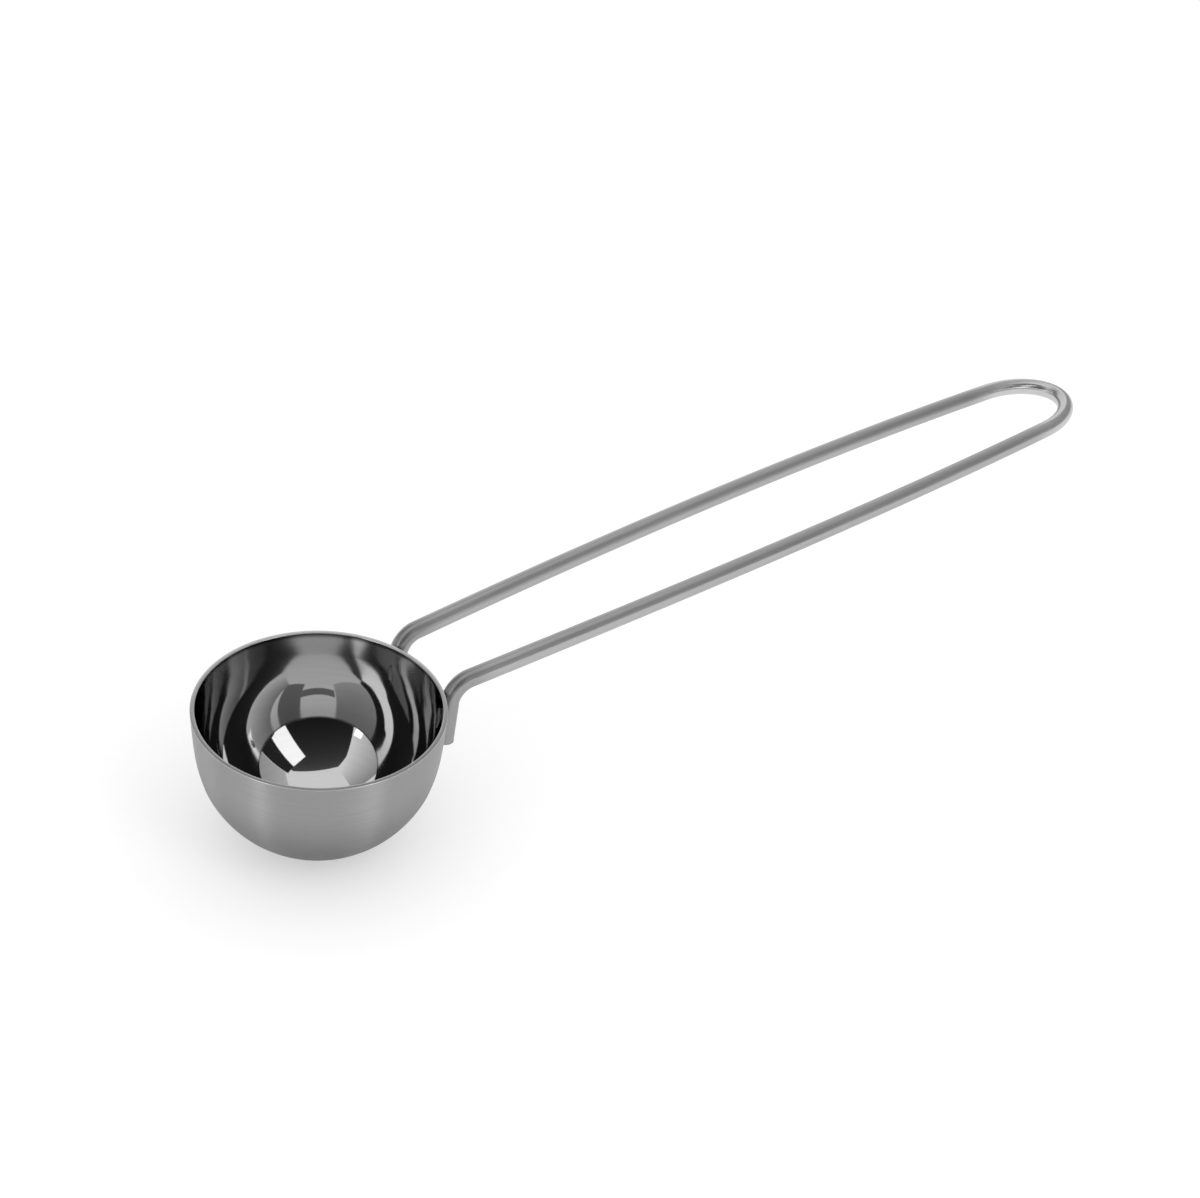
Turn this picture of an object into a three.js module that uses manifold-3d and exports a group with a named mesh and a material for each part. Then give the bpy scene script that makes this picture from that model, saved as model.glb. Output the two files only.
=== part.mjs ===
// Coffee scoop: a deep-drawn steel bowl, and a hairpin handle of round wire welded to the outside of its wall.
// Millimetres, +Z up. The origin is the centre of the flat under the bowl, and the handle runs out along +X.
// Left is -Y and right is +Y, as the hand that holds the handle has them.
import * as THREE from "three";
import { mergeVertices } from "three/addons/utils/BufferGeometryUtils.js";
import Module from "manifold-3d";

// Bowl
const RIM_DIAMETER = 45; // outside, at the top edge
const SHEET_THICKNESS = 0.8;
const WALL_HEIGHT = 8; // straight band between the rim and the round bottom
const WALL_DRAFT_DEG = 4; // the band flares out by this much
const BASE_DIAMETER = 12; // flat that the bowl stands on

// Wire handle, with its sizes taken on the wire's centre line
const WIRE_DIAMETER = 3.4;
const HANDLE_REACH = 191.5; // from the bowl's axis to the outside of the loop's far end
const HANDLE_RISE_DEG = 2; // above the plane of the rim, from the bends to the loop's end
const HANDLE_ARCH = 0.5; // height of the limbs' shallow arch over that slope
const HANDLE_LIFT = 1; // height over the rim where limb and leg would meet
const LEG_SPACING = 16.6; // between the legs at that height
const LEG_DEPTH = 11.3; // from the rim down to the cut ends
const LEG_BEND_RADIUS = 4.2;
const LIMB_SPLAY_DEG = 2.4; // each limb opens by this much as it leaves the bowl
const LIMB_CLOSE_DEG = 3; // and closes by this much as it runs into the loop
const LOOP_WIDTH = 17.7; // across the loop's elliptical nose
const LOOP_NOSE = 14; // half length of that ellipse, along the handle

// Welds
const WELD_SET_DOWN = 0.25; // welding presses the round wire this far into its seat
const WELD_LENGTH = 5;
const WELD_WIDTH = 2.6;
const WELD_WEB = 0.1; // fused metal between wire and wall, at its thinnest
const WELD_CLEARANCE = 0.1; // left free all round each weld

// Facets
const BOWL_SIDES = 80;
const BOTTOM_STEPS = 14;
const WIRE_SIDES = 16;
const WELD_SIDES = 24;
const LEG_STEPS = 3;
const BEND_STEPS = 8;
const LIMB_STEPS = 24;
const NOSE_STEPS = 24;

const { degToRad } = THREE.MathUtils;
const draft = degToRad(WALL_DRAFT_DEG);
const rise = degToRad(HANDLE_RISE_DEG);
const splay = degToRad(LIMB_SPLAY_DEG);
const close = degToRad(LIMB_CLOSE_DEG);

// The round bottom is the sphere that the flared band runs into without a crease.
const rimRadius = RIM_DIAMETER / 2;
const roundRadius = (rimRadius - WALL_HEIGHT * Math.tan(draft)) / Math.cos(draft);
const roundCentre = Math.sqrt(roundRadius ** 2 - (BASE_DIAMETER / 2) ** 2);
const bowlHeight = roundCentre - roundRadius * Math.sin(draft) + WALL_HEIGHT;

// Half outline of the bowl's outside moved out by an offset: from the axis under the base up to the rim's plane.
function halfOutline(offset) {
  const radius = roundRadius + offset;
  const flatAngle = Math.acos((roundCentre + offset) / radius);
  const bottom = new THREE.EllipseCurve(0, roundCentre, radius, radius, flatAngle - Math.PI / 2, -draft);
  return [
    new THREE.Vector2(0, -offset),
    ...bottom.getPoints(BOTTOM_STEPS),
    new THREE.Vector2(rimRadius + offset / Math.cos(draft), bowlHeight),
  ];
}

function turned(outline) {
  return new THREE.LatheGeometry(outline, BOWL_SIDES).rotateX(Math.PI / 2);
}

const bowlGeometry = turned([...halfOutline(0), ...halfOutline(-SHEET_THICKNESS).reverse()]);

// The bowl as a filled body that stands proud of its outside by an offset, for cutting what lies against the wall.
function filledBowl(offset) {
  return solidOf(turned([...halfOutline(offset), new THREE.Vector2(0, bowlHeight)]));
}

// Booleans on closed meshes
const wasm = await Module();
wasm.setup();

function solidOf(geometry) {
  const bare = geometry.clone();
  bare.deleteAttribute("normal");
  bare.deleteAttribute("uv");
  const merged = mergeVertices(bare);
  const corners = merged.index.array;
  const triangles = [];
  for (let i = 0; i < corners.length; i += 3) {
    const [a, b, c] = corners.slice(i, i + 3);
    if (a !== b && b !== c && c !== a) {
      triangles.push(a, b, c);
    }
  }
  const vertProperties = merged.attributes.position.array;
  const triVerts = new Uint32Array(triangles);
  return new wasm.Manifold(new wasm.Mesh({ numProp: 3, vertProperties, triVerts }));
}

function geometryOf(solid) {
  const { vertProperties, triVerts } = solid.getMesh();
  const geometry = new THREE.BufferGeometry();
  geometry.setAttribute("position", new THREE.BufferAttribute(vertProperties, 3));
  geometry.setIndex(new THREE.BufferAttribute(triVerts, 1));
  geometry.computeVertexNormals();
  return geometry;
}

// The right-hand leg lies along the flared wall. Limb and leg would meet at the corner, which the bend rounds off.
const wireRadius = WIRE_DIAMETER / 2;
const legOffset = wireRadius - WELD_SET_DOWN;
const cornerRadius = rimRadius + HANDLE_LIFT * Math.tan(draft) + legOffset / Math.cos(draft);
const cornerY = LEG_SPACING / 2;
const cornerX = Math.sqrt(cornerRadius ** 2 - cornerY ** 2);
const corner = new THREE.Vector3(cornerX, cornerY, bowlHeight + HANDLE_LIFT);
const outward = new THREE.Vector3(cornerX, cornerY, 0).normalize();
const legUp = new THREE.Vector3(0, 0, Math.cos(draft)).addScaledVector(outward, Math.sin(draft));

// The handle rises from the corner to the middle of the loop's end, over a shallow arch.
const handleRun = HANDLE_REACH - wireRadius - corner.x;
const archSlope = (4 * HANDLE_ARCH) / handleRun;

function handleHeight(x) {
  const run = x - corner.x;
  return corner.z + run * (Math.tan(rise) + archSlope * (1 - run / handleRun));
}

function handleSlope(x) {
  return Math.tan(rise) + archSlope * (1 - (2 * (x - corner.x)) / handleRun);
}

const limbStart = new THREE.Vector3(1, Math.tan(splay), handleSlope(corner.x));
const limbOut = limbStart.clone().normalize();

const bendSweep = legUp.angleTo(limbOut);
const bendReach = LEG_BEND_RADIUS * Math.tan(bendSweep / 2);
const bendStart = corner.clone().addScaledVector(legUp, -bendReach);
const bendEnd = corner.clone().addScaledVector(limbOut, bendReach);
const bendInward = limbOut.clone().addScaledVector(legUp, -Math.cos(bendSweep)).normalize();
const bendCentre = bendStart.clone().addScaledVector(bendInward, LEG_BEND_RADIUS);
const legLength = (HANDLE_LIFT + LEG_DEPTH) / legUp.z - bendReach;
const legEnd = bendStart.clone().addScaledVector(legUp, -legLength);

// The loop's nose is an ellipse, and each limb is a cubic from its bend to where the ellipse has its slope.
const noseHalfWidth = LOOP_WIDTH / 2;
const noseCentreX = HANDLE_REACH - wireRadius - LOOP_NOSE;
const noseAngle = Math.atan2(noseHalfWidth, LOOP_NOSE * Math.tan(close));

function nosePoint(angle) {
  const x = noseCentreX + LOOP_NOSE * Math.cos(angle);
  return new THREE.Vector3(x, noseHalfWidth * Math.sin(angle), handleHeight(x));
}

const limbEnd = nosePoint(noseAngle);
const limbFinish = new THREE.Vector3(1, -Math.tan(close), handleSlope(limbEnd.x));
const limbThird = (limbEnd.x - bendEnd.x) / 3;
const limb = new THREE.CubicBezierCurve3(
  bendEnd,
  bendEnd.clone().addScaledVector(limbStart, limbThird),
  limbEnd.clone().addScaledVector(limbFinish, -limbThird),
  limbEnd,
);

function legPoint(t) {
  return legEnd.clone().lerp(bendStart, t);
}

function bendPoint(t) {
  return bendCentre
    .clone()
    .addScaledVector(bendInward, -LEG_BEND_RADIUS * Math.cos(t * bendSweep))
    .addScaledVector(legUp, LEG_BEND_RADIUS * Math.sin(t * bendSweep));
}

function toOtherSide(point) {
  return point.setY(-point.y);
}

// The bent wire, stretch after stretch: each has a point for every t from 0 to 1 and its own number of steps.
class BentWire extends THREE.Curve {
  constructor(stretches) {
    super();
    this.stretches = stretches;
    this.steps = stretches.reduce((sum, stretch) => sum + stretch.steps, 0);
  }

  getPoint(t, target = new THREE.Vector3()) {
    let step = t * this.steps;
    let index = 0;
    while (index < this.stretches.length - 1 && step > this.stretches[index].steps) {
      step -= this.stretches[index].steps;
      index += 1;
    }
    const stretch = this.stretches[index];
    return target.copy(stretch.point(step / stretch.steps));
  }

  // Even steps in t, so that bends are cut finer than straights.
  getUtoTmapping(u) {
    return u;
  }
}

const rightHalf = [
  { steps: LEG_STEPS, point: legPoint },
  { steps: BEND_STEPS, point: bendPoint },
  { steps: LIMB_STEPS, point: (t) => limb.getPoint(t) },
];
const leftHalf = rightHalf
  .map(({ steps, point }) => ({ steps, point: (t) => toOtherSide(point(1 - t)) }))
  .reverse();
const nose = { steps: NOSE_STEPS, point: (t) => nosePoint(noseAngle * (1 - 2 * t)) };
const wirePath = new BentWire([...rightHalf, nose, ...leftHalf]);

function wireSolid(extraRadius) {
  const section = new THREE.Shape().absarc(0, 0, wireRadius + extraRadius, 0, 2 * Math.PI);
  const settings = { steps: wirePath.steps, curveSegments: WIRE_SIDES / 2, extrudePath: wirePath };
  return solidOf(new THREE.ExtrudeGeometry(section, settings));
}

// Where the wire was pressed into its seat it is cut back, to leave room for the fused metal.
const seatGap = WELD_WEB + 2 * WELD_CLEARANCE;
const wireGeometry = geometryOf(wireSolid(0).subtract(filledBowl(seatGap)));

// A weld is an oval pad between wall and leg, half way down the part of the leg that lies along the flared band.
const bendDepth = bowlHeight - bendStart.z;
const weldDrop = (bendDepth + WALL_HEIGHT) / 2;
const weldCentre = bendStart.clone().addScaledVector(legUp, -(weldDrop - bendDepth) / legUp.z);
const wallOut = outward.clone().multiplyScalar(Math.cos(draft)).setZ(-Math.sin(draft));
const wireRoom = wireSolid(WELD_CLEARANCE).subtract(filledBowl(seatGap - WELD_CLEARANCE));
const wallRoom = filledBowl(WELD_CLEARANCE);

function padGeometry() {
  const oval = new THREE.Shape().absellipse(0, 0, WELD_LENGTH / 2, WELD_WIDTH / 2, 0, 2 * Math.PI);
  const depth = legOffset + SHEET_THICKNESS;
  const settings = { depth, bevelEnabled: false, curveSegments: WELD_SIDES / 2 };
  const across = new THREE.Vector3().crossVectors(wallOut, legUp);
  const placed = new THREE.Matrix4().makeBasis(legUp, across, wallOut).setPosition(weldCentre);
  return new THREE.ExtrudeGeometry(oval, settings).translate(0, 0, -depth).applyMatrix4(placed);
}

const weldGeometry = geometryOf(solidOf(padGeometry()).subtract(wireRoom).subtract(wallRoom));

// Finishes
const satinSteel = new THREE.MeshStandardMaterial({ color: 0xa9a9a8, roughness: 0.36, metalness: 1 });
const drawnWire = new THREE.MeshStandardMaterial({ color: 0x9d9d9c, roughness: 0.3, metalness: 1 });
const weldedSteel = new THREE.MeshStandardMaterial({ color: 0x858482, roughness: 0.55, metalness: 1 });

const scoop = new THREE.Group();
scoop.name = "coffee_scoop";

function addPiece(name, geometry, material) {
  const piece = new THREE.Mesh(geometry, material);
  piece.name = name;
  scoop.add(piece);
  return piece;
}

addPiece("bowl", bowlGeometry, satinSteel);
addPiece("wire_handle", wireGeometry, drawnWire);
addPiece("weld_right", weldGeometry, weldedSteel);
addPiece("weld_left", weldGeometry, weldedSteel).scale.setY(-1);

export default scoop;
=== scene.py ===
import math

import bpy
from mathutils import Matrix, Vector


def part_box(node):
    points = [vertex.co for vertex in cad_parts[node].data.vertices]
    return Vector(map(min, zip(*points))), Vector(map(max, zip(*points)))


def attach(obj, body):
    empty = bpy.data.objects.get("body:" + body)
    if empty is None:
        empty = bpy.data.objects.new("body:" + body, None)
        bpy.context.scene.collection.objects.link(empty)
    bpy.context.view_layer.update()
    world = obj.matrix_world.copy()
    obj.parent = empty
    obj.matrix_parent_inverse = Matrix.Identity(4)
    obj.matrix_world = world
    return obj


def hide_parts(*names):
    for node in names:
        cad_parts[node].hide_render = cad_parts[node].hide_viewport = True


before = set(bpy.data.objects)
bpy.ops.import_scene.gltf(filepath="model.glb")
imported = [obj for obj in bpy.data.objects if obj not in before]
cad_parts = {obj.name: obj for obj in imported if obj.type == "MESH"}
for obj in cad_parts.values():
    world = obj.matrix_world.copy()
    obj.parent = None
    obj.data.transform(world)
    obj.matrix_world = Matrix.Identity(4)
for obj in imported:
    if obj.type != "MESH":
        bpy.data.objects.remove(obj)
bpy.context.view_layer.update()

# Camera
# A long lens looks down at the bowl from the front left, with the handle running away to the right.
# In the picture the bowl leans a little towards its handle, so the camera is rolled instead.
camera_place = Vector((-0.17733, -0.26631, 0.28274))
camera_aim = Vector((0.04095, -0.02448, 0.05064))
camera_roll = math.radians(6.19)
lens_mm = 69.45
sensor_width_mm = 36

bpy.ops.object.select_all(action="DESELECT")
bpy.ops.object.camera_add(location=camera_place)
camera = bpy.context.object
looking = (camera_aim - camera_place).to_track_quat("-Z", "Y").to_matrix()
camera.rotation_euler = (looking @ Matrix.Rotation(camera_roll, 3, "Z")).to_euler()
camera.data.lens = lens_mm
camera.data.sensor_width = sensor_width_mm
bpy.context.scene.camera = camera
bpy.context.scene.view_settings.view_transform = "Standard"

# Bowl
# One deep-drawn cup of stainless sheet: a flared wall band that runs into a round bottom with a small flat.
# The outside is brushed while it spins, the inside is polished to a mirror, and the rim is ground level.
MM = 0.001
rim_radius, _, bowl_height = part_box("bowl")[1]
sheet_thickness = 0.8 * MM
wall_height = 8 * MM
wall_draft = math.radians(4)
base_corner_radius = 8 * MM
rim_inner_round = 0.15 * MM
rim_outer_round = 0.1 * MM
easing_reach = 6 * MM
easing_rounds = 30
inner_round_radius = 21.62 * MM
inner_round_centre = 21.52 * MM
inner_arc_low, inner_arc_high = 19 * MM, 23 * MM
inner_wall_draft = math.radians(0.7)
inner_rim_draft = math.radians(-2.5)
bowl_sides = 256
wall_rings = 12
arc_rings = 16
bottom_rings = 44
corner_rings = 8
rim_round_steps = 8
bowl_crease = math.radians(20)
touching = 0.01 * MM
merge_distance = 0.001 * MM

round_radius = (rim_radius - wall_height * math.tan(wall_draft)) / math.cos(wall_draft)
round_centre = bowl_height - wall_height + round_radius * math.sin(wall_draft)
corner_x = math.sqrt((round_radius - base_corner_radius) ** 2 - (round_centre - base_corner_radius) ** 2)
corner_sweep = math.asin(corner_x / (round_radius - base_corner_radius))
round_sweep = math.pi / 2 - wall_draft - corner_sweep

# Drawing thins the sheet a little: inside, a wide arc leads from the round bottom into a nearly upright wall,
# which bends in slightly towards the rim.
arc_start = math.asin((inner_round_centre - inner_arc_low) / inner_round_radius)
arc_sweep = arc_start - inner_wall_draft
arc_radius = (inner_arc_high - inner_arc_low) / (math.sin(arc_start) - math.sin(inner_wall_draft))
arc_x = (inner_round_radius - arc_radius) * math.cos(arc_start)
arc_centre = (arc_x, 0, inner_arc_low + arc_radius * math.sin(arc_start))
inner_wall_sweep = inner_wall_draft - inner_rim_draft
inner_wall_radius = (bowl_height - inner_arc_high) / (math.sin(inner_wall_draft) - math.sin(inner_rim_draft))
inner_wall_x = arc_x + (arc_radius - inner_wall_radius) * math.cos(inner_wall_draft)
inner_wall_centre = (inner_wall_x, 0, inner_arc_high + inner_wall_radius * math.sin(inner_wall_draft))
inner_rim_radius = inner_wall_x + inner_wall_radius * math.cos(inner_rim_draft)
inner_corner_z = sheet_thickness + base_corner_radius
inner_corner_rise = inner_round_centre - inner_corner_z
inner_corner_sweep = math.acos(inner_corner_rise / (inner_round_radius - base_corner_radius))
inner_corner_x = inner_corner_rise * math.tan(inner_corner_sweep)
inner_round_sweep = math.pi / 2 - inner_corner_sweep - arc_start


def select_where(piece, kind, wanted):
    """Selects, for editing, only those vertices or edges of a piece whose middle passes the test."""
    bpy.ops.object.mode_set(mode="EDIT")
    bpy.ops.mesh.select_mode(type=kind)
    bpy.ops.mesh.select_all(action="DESELECT")
    bpy.ops.object.mode_set(mode="OBJECT")
    corners = piece.data.vertices
    if kind == "VERT":
        for corner in corners:
            corner.select = wanted(corner.co)
    else:
        for edge in piece.data.edges:
            edge.select = wanted((corners[edge.vertices[0]].co + corners[edge.vertices[1]].co) / 2)
    bpy.ops.object.mode_set(mode="EDIT")


def extrude(step):
    """Carries what is selected on by one straight step."""
    bpy.ops.mesh.extrude_region_move(TRANSFORM_OT_translate={"value": step})


def sweep(steps, angle, centre):
    """Carries the section on along an arc about a centre in its plane."""
    bpy.ops.mesh.spin(steps=steps, angle=angle, center=centre, axis=(0, 1, 0), dupli=False)


# The section is drawn from the middle of the underside, up the outside, over the rim and down the inside.
bpy.ops.object.select_all(action="DESELECT")
bpy.ops.mesh.primitive_plane_add(size=2 * rim_radius, location=(0, 0, 0))
bowl = bpy.context.object
bowl.name = bowl.data.name = "drawn_bowl"
bpy.ops.object.mode_set(mode="EDIT")
bpy.ops.mesh.select_mode(type="VERT")
bpy.ops.mesh.select_all(action="SELECT")
bpy.ops.mesh.merge(type="CENTER")
extrude((corner_x, 0, 0))
sweep(corner_rings, corner_sweep, (corner_x, 0, base_corner_radius))
sweep(bottom_rings, round_sweep, (0, 0, round_centre))
for ring in range(wall_rings):
    extrude((wall_height * math.tan(wall_draft) / wall_rings, 0, wall_height / wall_rings))
tangent_height = bowl_height - wall_height
select_where(bowl, "VERT", lambda place: abs(place.z - tangent_height) < easing_reach)
bpy.ops.mesh.vertices_smooth(factor=0.5, repeat=easing_rounds)
select_where(bowl, "VERT", lambda place: place.z > bowl_height - touching)
extrude((inner_rim_radius - rim_radius, 0, 0))
sweep(wall_rings, -inner_wall_sweep, inner_wall_centre)
sweep(arc_rings, -arc_sweep, arc_centre)
sweep(bottom_rings, -inner_round_sweep, (0, 0, inner_round_centre))
sweep(corner_rings, -inner_corner_sweep, (inner_corner_x, 0, inner_corner_z))
extrude((-inner_corner_x, 0, 0))

# Grinding leaves the rim's outer edge slightly rounded, and polishing rounds the inner edge a little more.
rim_middle = (rim_radius + inner_rim_radius) / 2
select_where(bowl, "VERT", lambda place: place.z > bowl_height - touching and place.x > rim_middle)
bpy.ops.mesh.bevel(offset=rim_outer_round, segments=rim_round_steps, affect="VERTICES")
select_where(bowl, "VERT", lambda place: place.z > bowl_height - touching and place.x < rim_middle)
bpy.ops.mesh.bevel(offset=rim_inner_round, segments=rim_round_steps, affect="VERTICES")
bpy.ops.mesh.select_all(action="SELECT")
bpy.ops.mesh.spin(steps=bowl_sides, angle=2 * math.pi, center=(0, 0, 0), axis=(0, 0, 1), dupli=False)
bpy.ops.mesh.select_all(action="SELECT")
bpy.ops.mesh.remove_doubles(threshold=merge_distance)
bpy.ops.mesh.normals_make_consistent(inside=False)
bpy.ops.object.mode_set(mode="OBJECT")
hollow_middle = Vector((0, 0, round_centre))


def is_inside(place, facing):
    """Whether a place on the bowl faces its hollow."""
    return facing.dot(place - hollow_middle) < 0


def ease(value, start, end):
    """Rises smoothly from 0 at the start to 1 at the end."""
    share = min(max((value - start) / (end - start), 0), 1)
    return share * share * (3 - 2 * share)


# Drawing leaves slight upright waves in the inner wall. They fade towards the rim and the polished bottom.
wave_width = 7 * MM
wave_height = 40 * MM
wave_depth = 0.03 * MM
wave_low, wave_full = 14 * MM, 20 * MM
wave_rim_fade = 3 * MM

waved = bowl.vertex_groups.new(name="waved_wall")
for corner in bowl.data.vertices:
    if is_inside(corner.co, corner.normal):
        above_bottom = ease(corner.co.z, wave_low, wave_full)
        below_rim = ease(bowl_height - corner.co.z, rim_inner_round, wave_rim_fade)
        waved.add([corner.index], above_bottom * below_rim, "REPLACE")
bpy.ops.object.empty_add(location=(0, 0, 0))
wave_guide = bpy.context.object
wave_guide.scale = (wave_width, wave_width, wave_height)
wave_texture = bpy.data.textures.new("drawing_waves", "CLOUDS")
wave_texture.noise_scale = 1
wave_texture.noise_depth = 0
bpy.context.view_layer.objects.active = bowl
waves = bowl.modifiers.new("drawing_waves", "DISPLACE")
waves.texture = wave_texture
waves.texture_coords = "OBJECT"
waves.texture_coords_object = wave_guide
waves.vertex_group = waved.name
waves.strength = wave_depth
bpy.ops.object.modifier_apply(modifier=waves.name)
bpy.data.objects.remove(wave_guide)
bpy.ops.object.select_all(action="DESELECT")
bowl.select_set(True)
bpy.ops.object.shade_smooth_by_angle(angle=bowl_crease)


def linear(hex_colour):
    """An sRGB hex colour as the linear values that shaders take."""
    levels = [int(hex_colour[i : i + 2], 16) / 255 for i in (1, 3, 5)]
    return [v / 12.92 if v <= 0.04045 else ((v + 0.055) / 1.055) ** 2.4 for v in levels] + [1]


def new_material(name):
    """An empty material, and the tree to build it in."""
    material = bpy.data.materials.new(name)
    material.use_nodes = True
    material.node_tree.nodes.clear()
    return material, material.node_tree


def add_node(tree, kind, inputs=None, **settings):
    """Adds a node with its settings. An input is linked from another node's socket or given a value."""
    node = tree.nodes.new(kind)
    for name, value in settings.items():
        setattr(node, name, value)
    for name, value in (inputs or {}).items():
        if isinstance(value, bpy.types.NodeSocket):
            tree.links.new(value, node.inputs[name])
        else:
            node.inputs[name].default_value = value
    return node


def grain(tree, space, sizes, **settings):
    """Noise whose grains have these sizes along the three axes of a space."""
    scaled = add_node(tree, "ShaderNodeMapping", {"Vector": space, "Scale": [1 / size for size in sizes]})
    noise = {"Vector": scaled.outputs["Vector"], "Scale": 1, **settings}
    return add_node(tree, "ShaderNodeTexNoise", noise).outputs["Fac"]


def ramp(tree, value, start, end, low=0, high=1, shape="SMOOTHSTEP"):
    """Runs from low to high while another socket's value goes from the start to the end."""
    ranges = {"Value": value, "From Min": start, "From Max": end, "To Min": low, "To Max": high}
    return add_node(tree, "ShaderNodeMapRange", ranges, interpolation_type=shape).outputs["Result"]


def vary(tree, noise, low, high):
    """Spreads a value from low to high over the middle range, where most of the noise lies."""
    return ramp(tree, noise, 0.3, 0.7, low, high, "LINEAR")


def mix_tones(tree, share, first, second, **settings):
    """A colour between two tones, each a hex colour or another node's socket."""
    tones = [linear(tone) if isinstance(tone, str) else tone for tone in (first, second)]
    mix = add_node(tree, "ShaderNodeMix", {0: share, 6: tones[0], 7: tones[1]}, data_type="RGBA", **settings)
    return mix.outputs[2]


def finish_steel(tree, tone, roughness, more=None):
    """Ends a material as bare steel with a tone and a roughness."""
    inputs = {"Base Color": tone, "Metallic": 1, "Roughness": roughness, **(more or {})}
    steel = add_node(tree, "ShaderNodeBsdfPrincipled", inputs)
    add_node(tree, "ShaderNodeOutputMaterial", {"Surface": steel.outputs["BSDF"]})


# Brushed stainless steel: fine scratches run round the bowl, so highlights smear up and down its wall.
# Real scratches are about 0.05 mm apart. They are drawn coarser so that they show.
# Towards the bottom the steel is painted darker: painted shade for the shaded floor that the underside
# reflects.
brush_pitch = 0.3 * MM
brush_length = 14 * MM
brush_depth = 0.004 * MM
cloud_size = 18 * MM
painted_shade_top, painted_shade_bottom = 23 * MM, 6 * MM

brushed_steel, tree = new_material("brushed_stainless_steel")
coords = add_node(tree, "ShaderNodeTexCoord").outputs["Object"]
height = add_node(tree, "ShaderNodeSeparateXYZ", {"Vector": coords}).outputs["Z"]
brush = grain(tree, coords, (brush_length, brush_length, brush_pitch), Detail=3, Roughness=0.6)
clouds = grain(tree, coords, (cloud_size, cloud_size, cloud_size), Detail=2)
brush_tone = mix_tones(tree, brush, "#888888", "#c4c4c4")
cloud_tone = mix_tones(tree, clouds, brush_tone, "#a8a8a8")
# Painted shade: the tone darkens towards the bottom of the bowl.
tone_with_painted_shade = mix_tones(tree, ramp(tree, height, painted_shade_top, painted_shade_bottom), cloud_tone, "#7a7a7a")
brush_bump = add_node(tree, "ShaderNodeBump", {"Height": brush, "Strength": 0.6, "Distance": brush_depth})
round_the_bowl = add_node(tree, "ShaderNodeTangent", direction_type="RADIAL", axis="Z")
brush_smear = {
    "Anisotropic": 1,
    "Anisotropic Rotation": 0.25,
    "Tangent": round_the_bowl.outputs["Tangent"],
    "Normal": brush_bump.outputs["Normal"],
}
finish_steel(tree, tone_with_painted_shade, vary(tree, brush, 0.34, 0.42), brush_smear)

# Polished stainless steel: a mirror at the bottom, where the mop reaches best, and a little duller up the
# wall. Just under the rim a narrow dark line is painted in: a painted dark reflection.
buff_width = 0.5 * MM
buff_length = 12 * MM
polish_low = 15 * MM
painted_line_reach = 1.3 * MM

polished_steel, tree = new_material("polished_stainless_steel")
coords = add_node(tree, "ShaderNodeTexCoord").outputs["Object"]
height = add_node(tree, "ShaderNodeSeparateXYZ", {"Vector": coords}).outputs["Z"]
buff = grain(tree, coords, (buff_length, buff_length, buff_width), Detail=2)
polish_tone = mix_tones(tree, ramp(tree, height, polish_low, bowl_height), "#cbcbcb", "#b8b8b8")
# Painted dark reflection: a narrow dark line just under the rim.
painted_line_mask = ramp(tree, height, bowl_height - painted_line_reach, bowl_height - rim_inner_round)
tone_with_painted_line = mix_tones(tree, painted_line_mask, polish_tone, "#4c4c4c")
buff_tone = mix_tones(tree, buff, "#f4f4f4", "#ffffff")
polished_tone = mix_tones(tree, 1, tone_with_painted_line, buff_tone, blend_type="MULTIPLY")
finish_steel(tree, polished_tone, ramp(tree, height, polish_low, bowl_height, 0.04, 0.12))

# Ground stainless steel: the belt leaves short straight scratches across the rim and a dull sheen.
grit_width = 0.06 * MM
grit_length = 1.5 * MM

ground_steel, tree = new_material("ground_stainless_steel")
coords = add_node(tree, "ShaderNodeTexCoord").outputs["Object"]
grit = grain(tree, coords, (grit_length, grit_width, grit_length), Detail=2)
finish_steel(tree, mix_tones(tree, grit, "#c6c6c6", "#cacaca"), vary(tree, grit, 0.17, 0.21))

bowl_finishes = {"outside": brushed_steel, "inside": polished_steel, "rim": ground_steel}
for finish in bowl_finishes.values():
    bowl.data.materials.append(finish)
for face in bowl.data.polygons:
    if face.center.z > bowl_height - rim_outer_round:
        side = "rim"
    elif is_inside(face.center, face.normal):
        side = "inside"
    else:
        side = "outside"
    face.material_index = list(bowl_finishes).index(side)
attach(bowl, "root")
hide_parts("bowl")

# Wire handle
# One length of drawn stainless wire, bent to a hairpin: a rounded loop to hang it by, two limbs that bow out
# a little, and two legs turned down along the bowl's wall, to which they are welded. Its ends are sheared
# off and lie open below the welds.
wire_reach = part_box("wire_handle")[1].x
wire_radius = 1.7 * MM
handle_rise = math.radians(2)
handle_arch = 0.5 * MM
handle_lift = 1 * MM
leg_spacing = 16.6 * MM
leg_depth = 11.3 * MM
leg_bend_radius = 4.2 * MM
limb_splay = math.radians(2.4)
limb_close = math.radians(3)
nose_half_width = 8.85 * MM
nose_length = 14 * MM
weld_set_down = 0.25 * MM
burr_height = 0.3 * MM
burr_flare = 1.04
burr_lip = 0.08 * MM
lip_share = 0.94
seat_gap = 0.02 * MM
wire_steps = 36
wire_bevel_steps = 14
wire_crease = math.radians(30)

# The right-hand half of the wire's centre line, from the leg's cut end to the tip of the loop.
wall_to_line = (wire_radius - weld_set_down) / math.cos(wall_draft)
corner_radius = rim_radius + handle_lift * math.tan(wall_draft) + wall_to_line
corner_y = leg_spacing / 2
leg_corner = Vector((math.sqrt(corner_radius**2 - corner_y**2), corner_y, bowl_height + handle_lift))
outward = Vector((leg_corner.x, leg_corner.y, 0)).normalized()
leg_up = Vector((0, 0, math.cos(wall_draft))) + outward * math.sin(wall_draft)
handle_run = wire_reach - wire_radius - leg_corner.x
arch_slope = 4 * handle_arch / handle_run


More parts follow.
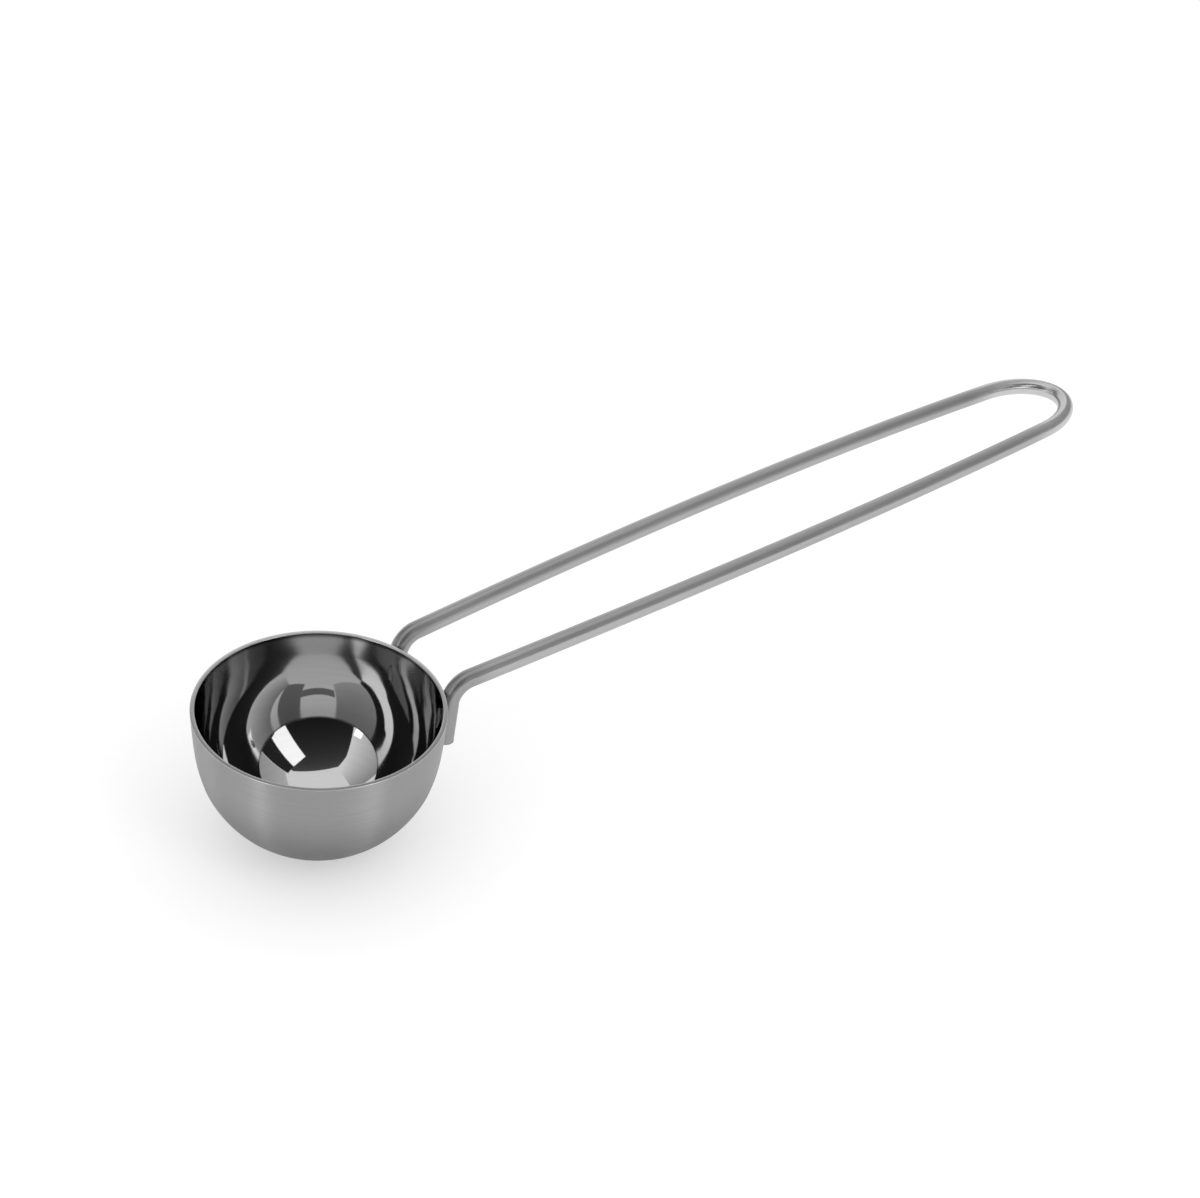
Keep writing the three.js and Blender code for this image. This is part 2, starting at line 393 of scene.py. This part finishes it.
def handle_height(x):
    """The height of the arched limbs' centre line at a distance from the bowl's axis."""
    run = x - leg_corner.x
    return leg_corner.z + run * (math.tan(handle_rise) + arch_slope * (1 - run / handle_run))


def handle_slope(x):
    """How steeply the arched limbs rise there."""
    return math.tan(handle_rise) + arch_slope * (1 - 2 * (x - leg_corner.x) / handle_run)


limb_start = Vector((1, math.tan(limb_splay), handle_slope(leg_corner.x)))
limb_out = limb_start.normalized()
bend_sweep = leg_up.angle(limb_out)
bend_reach = leg_bend_radius * math.tan(bend_sweep / 2)
bend_start = leg_corner - leg_up * bend_reach
bend_end = leg_corner + limb_out * bend_reach
bend_pull = leg_bend_radius * math.tan(bend_sweep / 4) * 4 / 3
leg_end = leg_corner - leg_up * ((handle_lift + leg_depth) / leg_up.z)
tube_end = leg_end + leg_up * (burr_height + burr_lip)
leg_pull = (bend_start - tube_end) / 3

nose_x = wire_reach - wire_radius - nose_length
nose_angle = math.atan2(nose_half_width, nose_length * math.tan(limb_close))
nose_pull = math.tan(nose_angle / 4) * 4 / 3
limb_end = Vector((nose_x + nose_length * math.cos(nose_angle), nose_half_width * math.sin(nose_angle), 0))
limb_end.z = handle_height(limb_end.x)
limb_finish = Vector((1, -math.tan(limb_close), handle_slope(limb_end.x)))
limb_third = (limb_end.x - bend_end.x) / 3
nose_tip = Vector((nose_x + nose_length, 0, handle_height(nose_x + nose_length)))
nose_leaves = limb_end + limb_finish * (nose_pull * nose_length * math.sin(nose_angle))
nose_meets = nose_tip + Vector((0, nose_pull * nose_half_width, 0))

# Each row is a point of the line with its handles before and after; the left half mirrors the right.
right_half = [
    (tube_end - leg_pull, tube_end, tube_end + leg_pull),
    (bend_start - leg_pull, bend_start, bend_start + leg_up * bend_pull),
    (bend_end - limb_out * bend_pull, bend_end, bend_end + limb_start * limb_third),
    (limb_end - limb_finish * limb_third, limb_end, nose_leaves),
]
to_left = Matrix.Diagonal((1, -1, 1))
sides = {"right": Matrix.Identity(3), "left": to_left}
left_half = [tuple(to_left @ point for point in reversed(row)) for row in reversed(right_half)]
wire_line = [*right_half, (nose_meets, nose_tip, to_left @ nose_meets), *left_half]

bpy.ops.object.select_all(action="DESELECT")
bpy.ops.curve.primitive_bezier_curve_add(location=(0, 0, 0))
wire = bpy.context.object
wire.name = wire.data.name = "bent_wire_handle"
line = wire.data.splines[0]
line.bezier_points.add(len(wire_line) - len(line.bezier_points))
for point, (before, place, after) in zip(line.bezier_points, wire_line):
    point.handle_left_type = point.handle_right_type = "FREE"
    point.handle_left = before
    point.co = place
    point.handle_right = after
wire.data.resolution_u = wire_steps
wire.data.bevel_depth = wire_radius
wire.data.bevel_resolution = wire_bevel_steps
wire.data.twist_mode = "MINIMUM"
bpy.ops.object.convert(target="MESH")
wire = bpy.context.object


def is_on_cut(place, end, down):
    """Whether a place lies on the wire's cut end, given the end's middle and the way it faces."""
    return abs((place - end).dot(down)) < touching and (place - end).length < 2 * wire_radius


# The shear leaves a slightly flared, burred lip round each cut end and a face that dips in the middle.
for side in sides.values():
    cut = side @ tube_end
    down = side @ -leg_up
    flare = cut + down * burr_height
    lip = cut + down * (burr_height + burr_lip)
    select_where(wire, "EDGE", lambda middle: is_on_cut(middle, cut, down))
    extrude(down * burr_height)
    bpy.ops.transform.resize(value=(burr_flare, burr_flare, burr_flare), center_override=flare)
    extrude(down * burr_lip)
    bpy.ops.transform.resize(value=(lip_share, lip_share, lip_share), center_override=lip)
    bpy.ops.mesh.edge_face_add()
    bpy.ops.mesh.inset(thickness=wire_radius / 2, depth=-burr_lip)
bpy.ops.mesh.select_all(action="SELECT")
bpy.ops.mesh.remove_doubles(threshold=merge_distance)
bpy.ops.mesh.normals_make_consistent(inside=False)
bpy.ops.object.mode_set(mode="OBJECT")

# Welding presses each leg a little flat where it lies on the wall.
seat = wire.modifiers.new("seat_on_wall", "SHRINKWRAP")
seat.target = bowl
seat.wrap_method = "NEAREST_SURFACEPOINT"
seat.wrap_mode = "OUTSIDE"
seat.offset = seat_gap
bpy.ops.object.modifier_apply(modifier=seat.name)
bpy.ops.object.shade_smooth_by_angle(angle=wire_crease)

# Drawn stainless wire: the die leaves fine lines along its length over a satin surface. Bending burnishes the
# loop, which is also painted lighter as a painted highlight, and the legs are painted darker as painted
# shade.
# Real die lines are a few hundredths of a millimetre wide. They are drawn coarser so that they show.
die_line = 0.25 * MM
die_length = 80 * MM
die_depth = 0.004 * MM
loop_burnish_and_highlight = 180 * MM, 170 * MM
leg_painted_shade = 24 * MM, 32 * MM
wire_round = 2 * math.pi * wire_radius
wire_length = 400 * MM

drawn_wire, tree = new_material("drawn_stainless_wire")
along = add_node(tree, "ShaderNodeUVMap", uv_map="UVMap").outputs["UV"]
coords = add_node(tree, "ShaderNodeTexCoord").outputs["Object"]
out_from_bowl = add_node(tree, "ShaderNodeSeparateXYZ", {"Vector": coords}).outputs["X"]
die = grain(tree, along, (die_line / wire_round, die_length / wire_length, 1), Detail=3)
die_tone = mix_tones(tree, die, "#a0a0a0", "#c2c2c2")
# Painted highlight: the loop is painted lighter than the rest of the wire; its roughness is lowered too.
loop_highlight_tone = mix_tones(tree, ramp(tree, out_from_bowl, *loop_burnish_and_highlight, 0.4), "#d2d2d2", die_tone)
# Painted shade: the legs are painted darker than the rest of the wire.
wire_tone = mix_tones(tree, ramp(tree, out_from_bowl, *leg_painted_shade, 0.3), "#929292", loop_highlight_tone)
satin_share = ramp(tree, out_from_bowl, *loop_burnish_and_highlight, 0.64)
die_roughness = vary(tree, die, 0.34, 0.42)
wire_roughness = add_node(tree, "ShaderNodeMath", {0: die_roughness, 1: satin_share}, operation="MULTIPLY")
die_bump = add_node(tree, "ShaderNodeBump", {"Height": die, "Strength": 0.5, "Distance": die_depth})
round_the_wire = add_node(tree, "ShaderNodeTangent", direction_type="UV_MAP", uv_map="UVMap")
die_smear = {
    "Anisotropic": 0.8,
    "Tangent": round_the_wire.outputs["Tangent"],
    "Normal": die_bump.outputs["Normal"],
}
finish_steel(tree, wire_tone, wire_roughness.outputs[0], die_smear)
wire.data.materials.append(drawn_wire)
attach(wire, "root")
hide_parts("wire_handle")

# Welds
# Each leg is resistance welded to the wall. The fused steel is squeezed out into a small dull bead on both
# sides of the wire, half way down the part of the leg that lies along the flared band.
bead_length = 5.2 * MM
bead_width = 3 * MM
bead_thickness = 1.1 * MM
bead_proud = 0.15 * MM
bead_ripple = 0.12 * MM
ripple_size = 0.7 * MM
bead_sides = 40
bead_rings = 20

bend_depth = bowl_height - bend_start.z
weld_drop = (bend_depth + wall_height) / 2
wall_out = outward * math.cos(wall_draft) - Vector((0, 0, math.sin(wall_draft)))
weld_line = bend_start - leg_up * ((weld_drop - bend_depth) / leg_up.z)
weld_middle = weld_line - wall_out * (wire_radius - weld_set_down - bead_proud)
along_wall = wall_out.cross(leg_up)
bead_lie = Matrix((leg_up * bead_length, along_wall * bead_width, wall_out * bead_thickness)).transposed()

fused_steel, tree = new_material("fused_weld_steel")
coords = add_node(tree, "ShaderNodeTexCoord").outputs["Object"]
scale_noise = grain(tree, coords, (ripple_size, ripple_size, ripple_size), Detail=4)
finish_steel(tree, mix_tones(tree, scale_noise, "#8a8987", "#b2b1af"), vary(tree, scale_noise, 0.4, 0.6))
ripple_texture = bpy.data.textures.new("weld_ripple", "CLOUDS")
ripple_texture.noise_scale = ripple_size

for name, side in sides.items():
    bpy.ops.object.select_all(action="DESELECT")
    bpy.ops.mesh.primitive_uv_sphere_add(
        segments=bead_sides, ring_count=bead_rings, radius=0.5, location=(0, 0, 0)
    )
    bead = bpy.context.object
    bead.name = bead.data.name = f"weld_bead_{name}"
    bead.matrix_world = (side @ bead_lie).to_4x4()
    bead.location = side @ weld_middle
    bpy.ops.object.transform_apply(location=True, rotation=True, scale=True)
    ripple = bead.modifiers.new("squeezed_out", "DISPLACE")
    ripple.texture = ripple_texture
    ripple.texture_coords = "LOCAL"
    ripple.strength = bead_ripple
    bpy.ops.object.modifier_apply(modifier=ripple.name)
    bpy.ops.object.mode_set(mode="EDIT")
    bpy.ops.mesh.select_all(action="SELECT")
    bpy.ops.mesh.normals_make_consistent(inside=False)
    bpy.ops.object.mode_set(mode="OBJECT")
    bpy.ops.object.shade_smooth()
    bead.data.materials.append(fused_steel)
    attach(bead, "root")
    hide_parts(f"weld_{name}")

# The electrode inside the bowl presses the inner wall out a little behind each weld, against its normals.
dent_depth = 0.15 * MM
dent_radius = 6.5 * MM

dented = bowl.vertex_groups.new(name="weld_dents")
for side in sides.values():
    dent_middle = side @ (weld_line - wall_out * (wire_radius - weld_set_down + sheet_thickness))
    for corner in bowl.data.vertices:
        near = 1 - (corner.co - dent_middle).length / dent_radius
        if near > 0 and is_inside(corner.co, corner.normal):
            dented.add([corner.index], ease(near, 0, 1), "REPLACE")
bpy.context.view_layer.objects.active = bowl
dents = bowl.modifiers.new("weld_dents", "DISPLACE")
dents.vertex_group = dented.name
dents.mid_level = 0
dents.strength = -dent_depth
bpy.ops.object.modifier_apply(modifier=dents.name)

# Floor
# A wide white sweep of paper, which the scoop stands on.
# It shows plain white to the camera and in the steel, and keeps the scoop's soft shadow.
floor_size = 6
floor_glow = 0.4

bpy.ops.object.select_all(action="DESELECT")
bpy.ops.mesh.primitive_plane_add(size=floor_size, location=(0, 0, 0))
floor = bpy.context.object
floor.name = floor.data.name = "white_floor"
white_sweep, tree = new_material("white_paper_sweep")
rays = add_node(tree, "ShaderNodeLightPath").outputs
seen = rays["Is Camera Ray"]
for ray in ("Is Glossy Ray", "Is Transmission Ray"):
    seen = add_node(tree, "ShaderNodeMath", {0: seen, 1: rays[ray]}, operation="MAXIMUM").outputs[0]
glow_level = add_node(tree, "ShaderNodeMath", {0: seen, 1: floor_glow}, operation="MULTIPLY")
paper = add_node(tree, "ShaderNodeBsdfDiffuse", {"Color": linear("#cfcfcf")})
glow = add_node(tree, "ShaderNodeEmission", {"Strength": glow_level.outputs[0]})
lit_paper = add_node(tree, "ShaderNodeAddShader", {0: paper.outputs["BSDF"], 1: glow.outputs["Emission"]})
add_node(tree, "ShaderNodeOutputMaterial", {"Surface": lit_paper.outputs["Shader"]})
floor.data.materials.append(white_sweep)

# Studio
# A white room with black cloth behind the camera and cards beside and behind the scoop, which give the
# polished bowl its dark and grey panels. Two softboxes stand in front of the cloth.
# The cards show only in the steel. Each card's shade runs from its first to its second, up or across it.
cards = {
    "black_cloth": {
        "azimuth": -115, "distance": 0.5, "width": 1.48, "low": 0.2, "high": 1.9, "roll": 0,
        "shades": ("#1c1c1c", "#565656"), "way": "up",
    },
    "black_wing": {
        "azimuth": -60, "distance": 0.4, "width": 0.17, "low": 0.16, "high": 0.78, "roll": 0,
        "shades": ("#2a2a2a", "#2e2e2e"), "way": "up",
    },
    "grey_card_handle": {
        "azimuth": -10, "distance": 0.6, "width": 0.94, "low": 0.1, "high": 1.3, "roll": 0,
        "shades": ("#a0a0a0", "#d4d4d4"), "way": "up",
    },
    "grey_card_back": {
        "azimuth": 110, "distance": 0.6, "width": 0.44, "low": 0.1, "high": 1.1, "roll": 0,
        "shades": ("#828282", "#8c8c8c"), "way": "up",
    },
    "grey_bar_back": {
        "azimuth": 60, "distance": 0.25, "width": 0.29, "low": 0.22, "high": 0.345, "roll": 0,
        "shades": ("#868686", "#8c8c8c"), "way": "up",
    },
    "white_sheet_right": {
        "azimuth": 164, "distance": 0.48, "width": 0.5, "low": 0.04, "high": 1.1, "roll": -14,
        "shades": ("#ffffff", "#a2a2a2"), "way": "across",
    },
}
softboxes = {
    "key_softbox": {
        "azimuth": -77.5, "elevation": 34, "distance": 0.45, "roll": 6,
        "width": 0.14, "length": 0.47, "level": 1.55,
    },
    "fill_softbox": {
        "azimuth": -170, "elevation": 14.5, "distance": 0.4, "roll": 0,
        "width": 0.06, "length": 0.24, "level": 1.45,
    },
}


def towards(azimuth):
    """The level direction at an azimuth in degrees, from +X round +Z."""
    return Vector((math.cos(math.radians(azimuth)), math.sin(math.radians(azimuth)), 0))


for name, card in cards.items():
    out = towards(card["azimuth"])
    bpy.ops.object.select_all(action="DESELECT")
    bpy.ops.mesh.primitive_plane_add(size=1, location=(0, 0, 0))
    panel = bpy.context.object
    panel.name = panel.data.name = name
    panel.matrix_world = (
        Matrix.Translation(out * card["distance"] + Vector((0, 0, (card["low"] + card["high"]) / 2)))
        @ (-out).to_track_quat("Z", "Y").to_matrix().to_4x4()
        @ Matrix.Rotation(math.radians(card["roll"]), 4, "Z")
        @ Matrix.Diagonal((card["width"], card["high"] - card["low"], 1, 1))
    )
    shade, tree = new_material(f"{name}_shade")
    on_card = add_node(tree, "ShaderNodeUVMap", uv_map="UVMap").outputs["UV"]
    place = add_node(tree, "ShaderNodeSeparateXYZ", {"Vector": on_card}).outputs
    tone = mix_tones(tree, place["Y" if card["way"] == "up" else "X"], *card["shades"])
    # Each card glows with its own shades instead of being lit: painted light standing in for a lit card.
    card_glow = add_node(tree, "ShaderNodeEmission", {"Color": tone})
    add_node(tree, "ShaderNodeOutputMaterial", {"Surface": card_glow.outputs["Emission"]})
    panel.data.materials.append(shade)
    panel.visible_camera = panel.visible_diffuse = panel.visible_shadow = False

# A lamp's power is spread over its face, so the level alone says how bright it looks.
for name, box in softboxes.items():
    elevation = math.radians(box["elevation"])
    out = towards(box["azimuth"]) * math.cos(elevation) + Vector((0, 0, math.sin(elevation)))
    bpy.ops.object.select_all(action="DESELECT")
    bpy.ops.object.light_add(type="AREA", location=(0, 0, 0))
    lamp = bpy.context.object
    lamp.name = lamp.data.name = name
    lamp.matrix_world = (
        Matrix.Translation(out * box["distance"] + Vector((0, 0, bowl_height)))
        @ out.to_track_quat("Z", "Y").to_matrix().to_4x4()
        @ Matrix.Rotation(math.radians(box["roll"]), 4, "Z")
    )
    lamp.data.shape = "RECTANGLE"
    lamp.data.size = box["width"]
    lamp.data.size_y = box["length"]
    lamp.data.energy = box["level"] * math.pi * box["width"] * box["length"]
    lamp.visible_camera = False

world = bpy.data.worlds.new("white_room")
bpy.context.scene.world = world
world.use_nodes = True
tree = world.node_tree
tree.nodes.clear()
white = add_node(tree, "ShaderNodeBackground", {"Color": linear("#ffffff"), "Strength": 1})
add_node(tree, "ShaderNodeOutputWorld", {"Surface": white.outputs["Background"]})
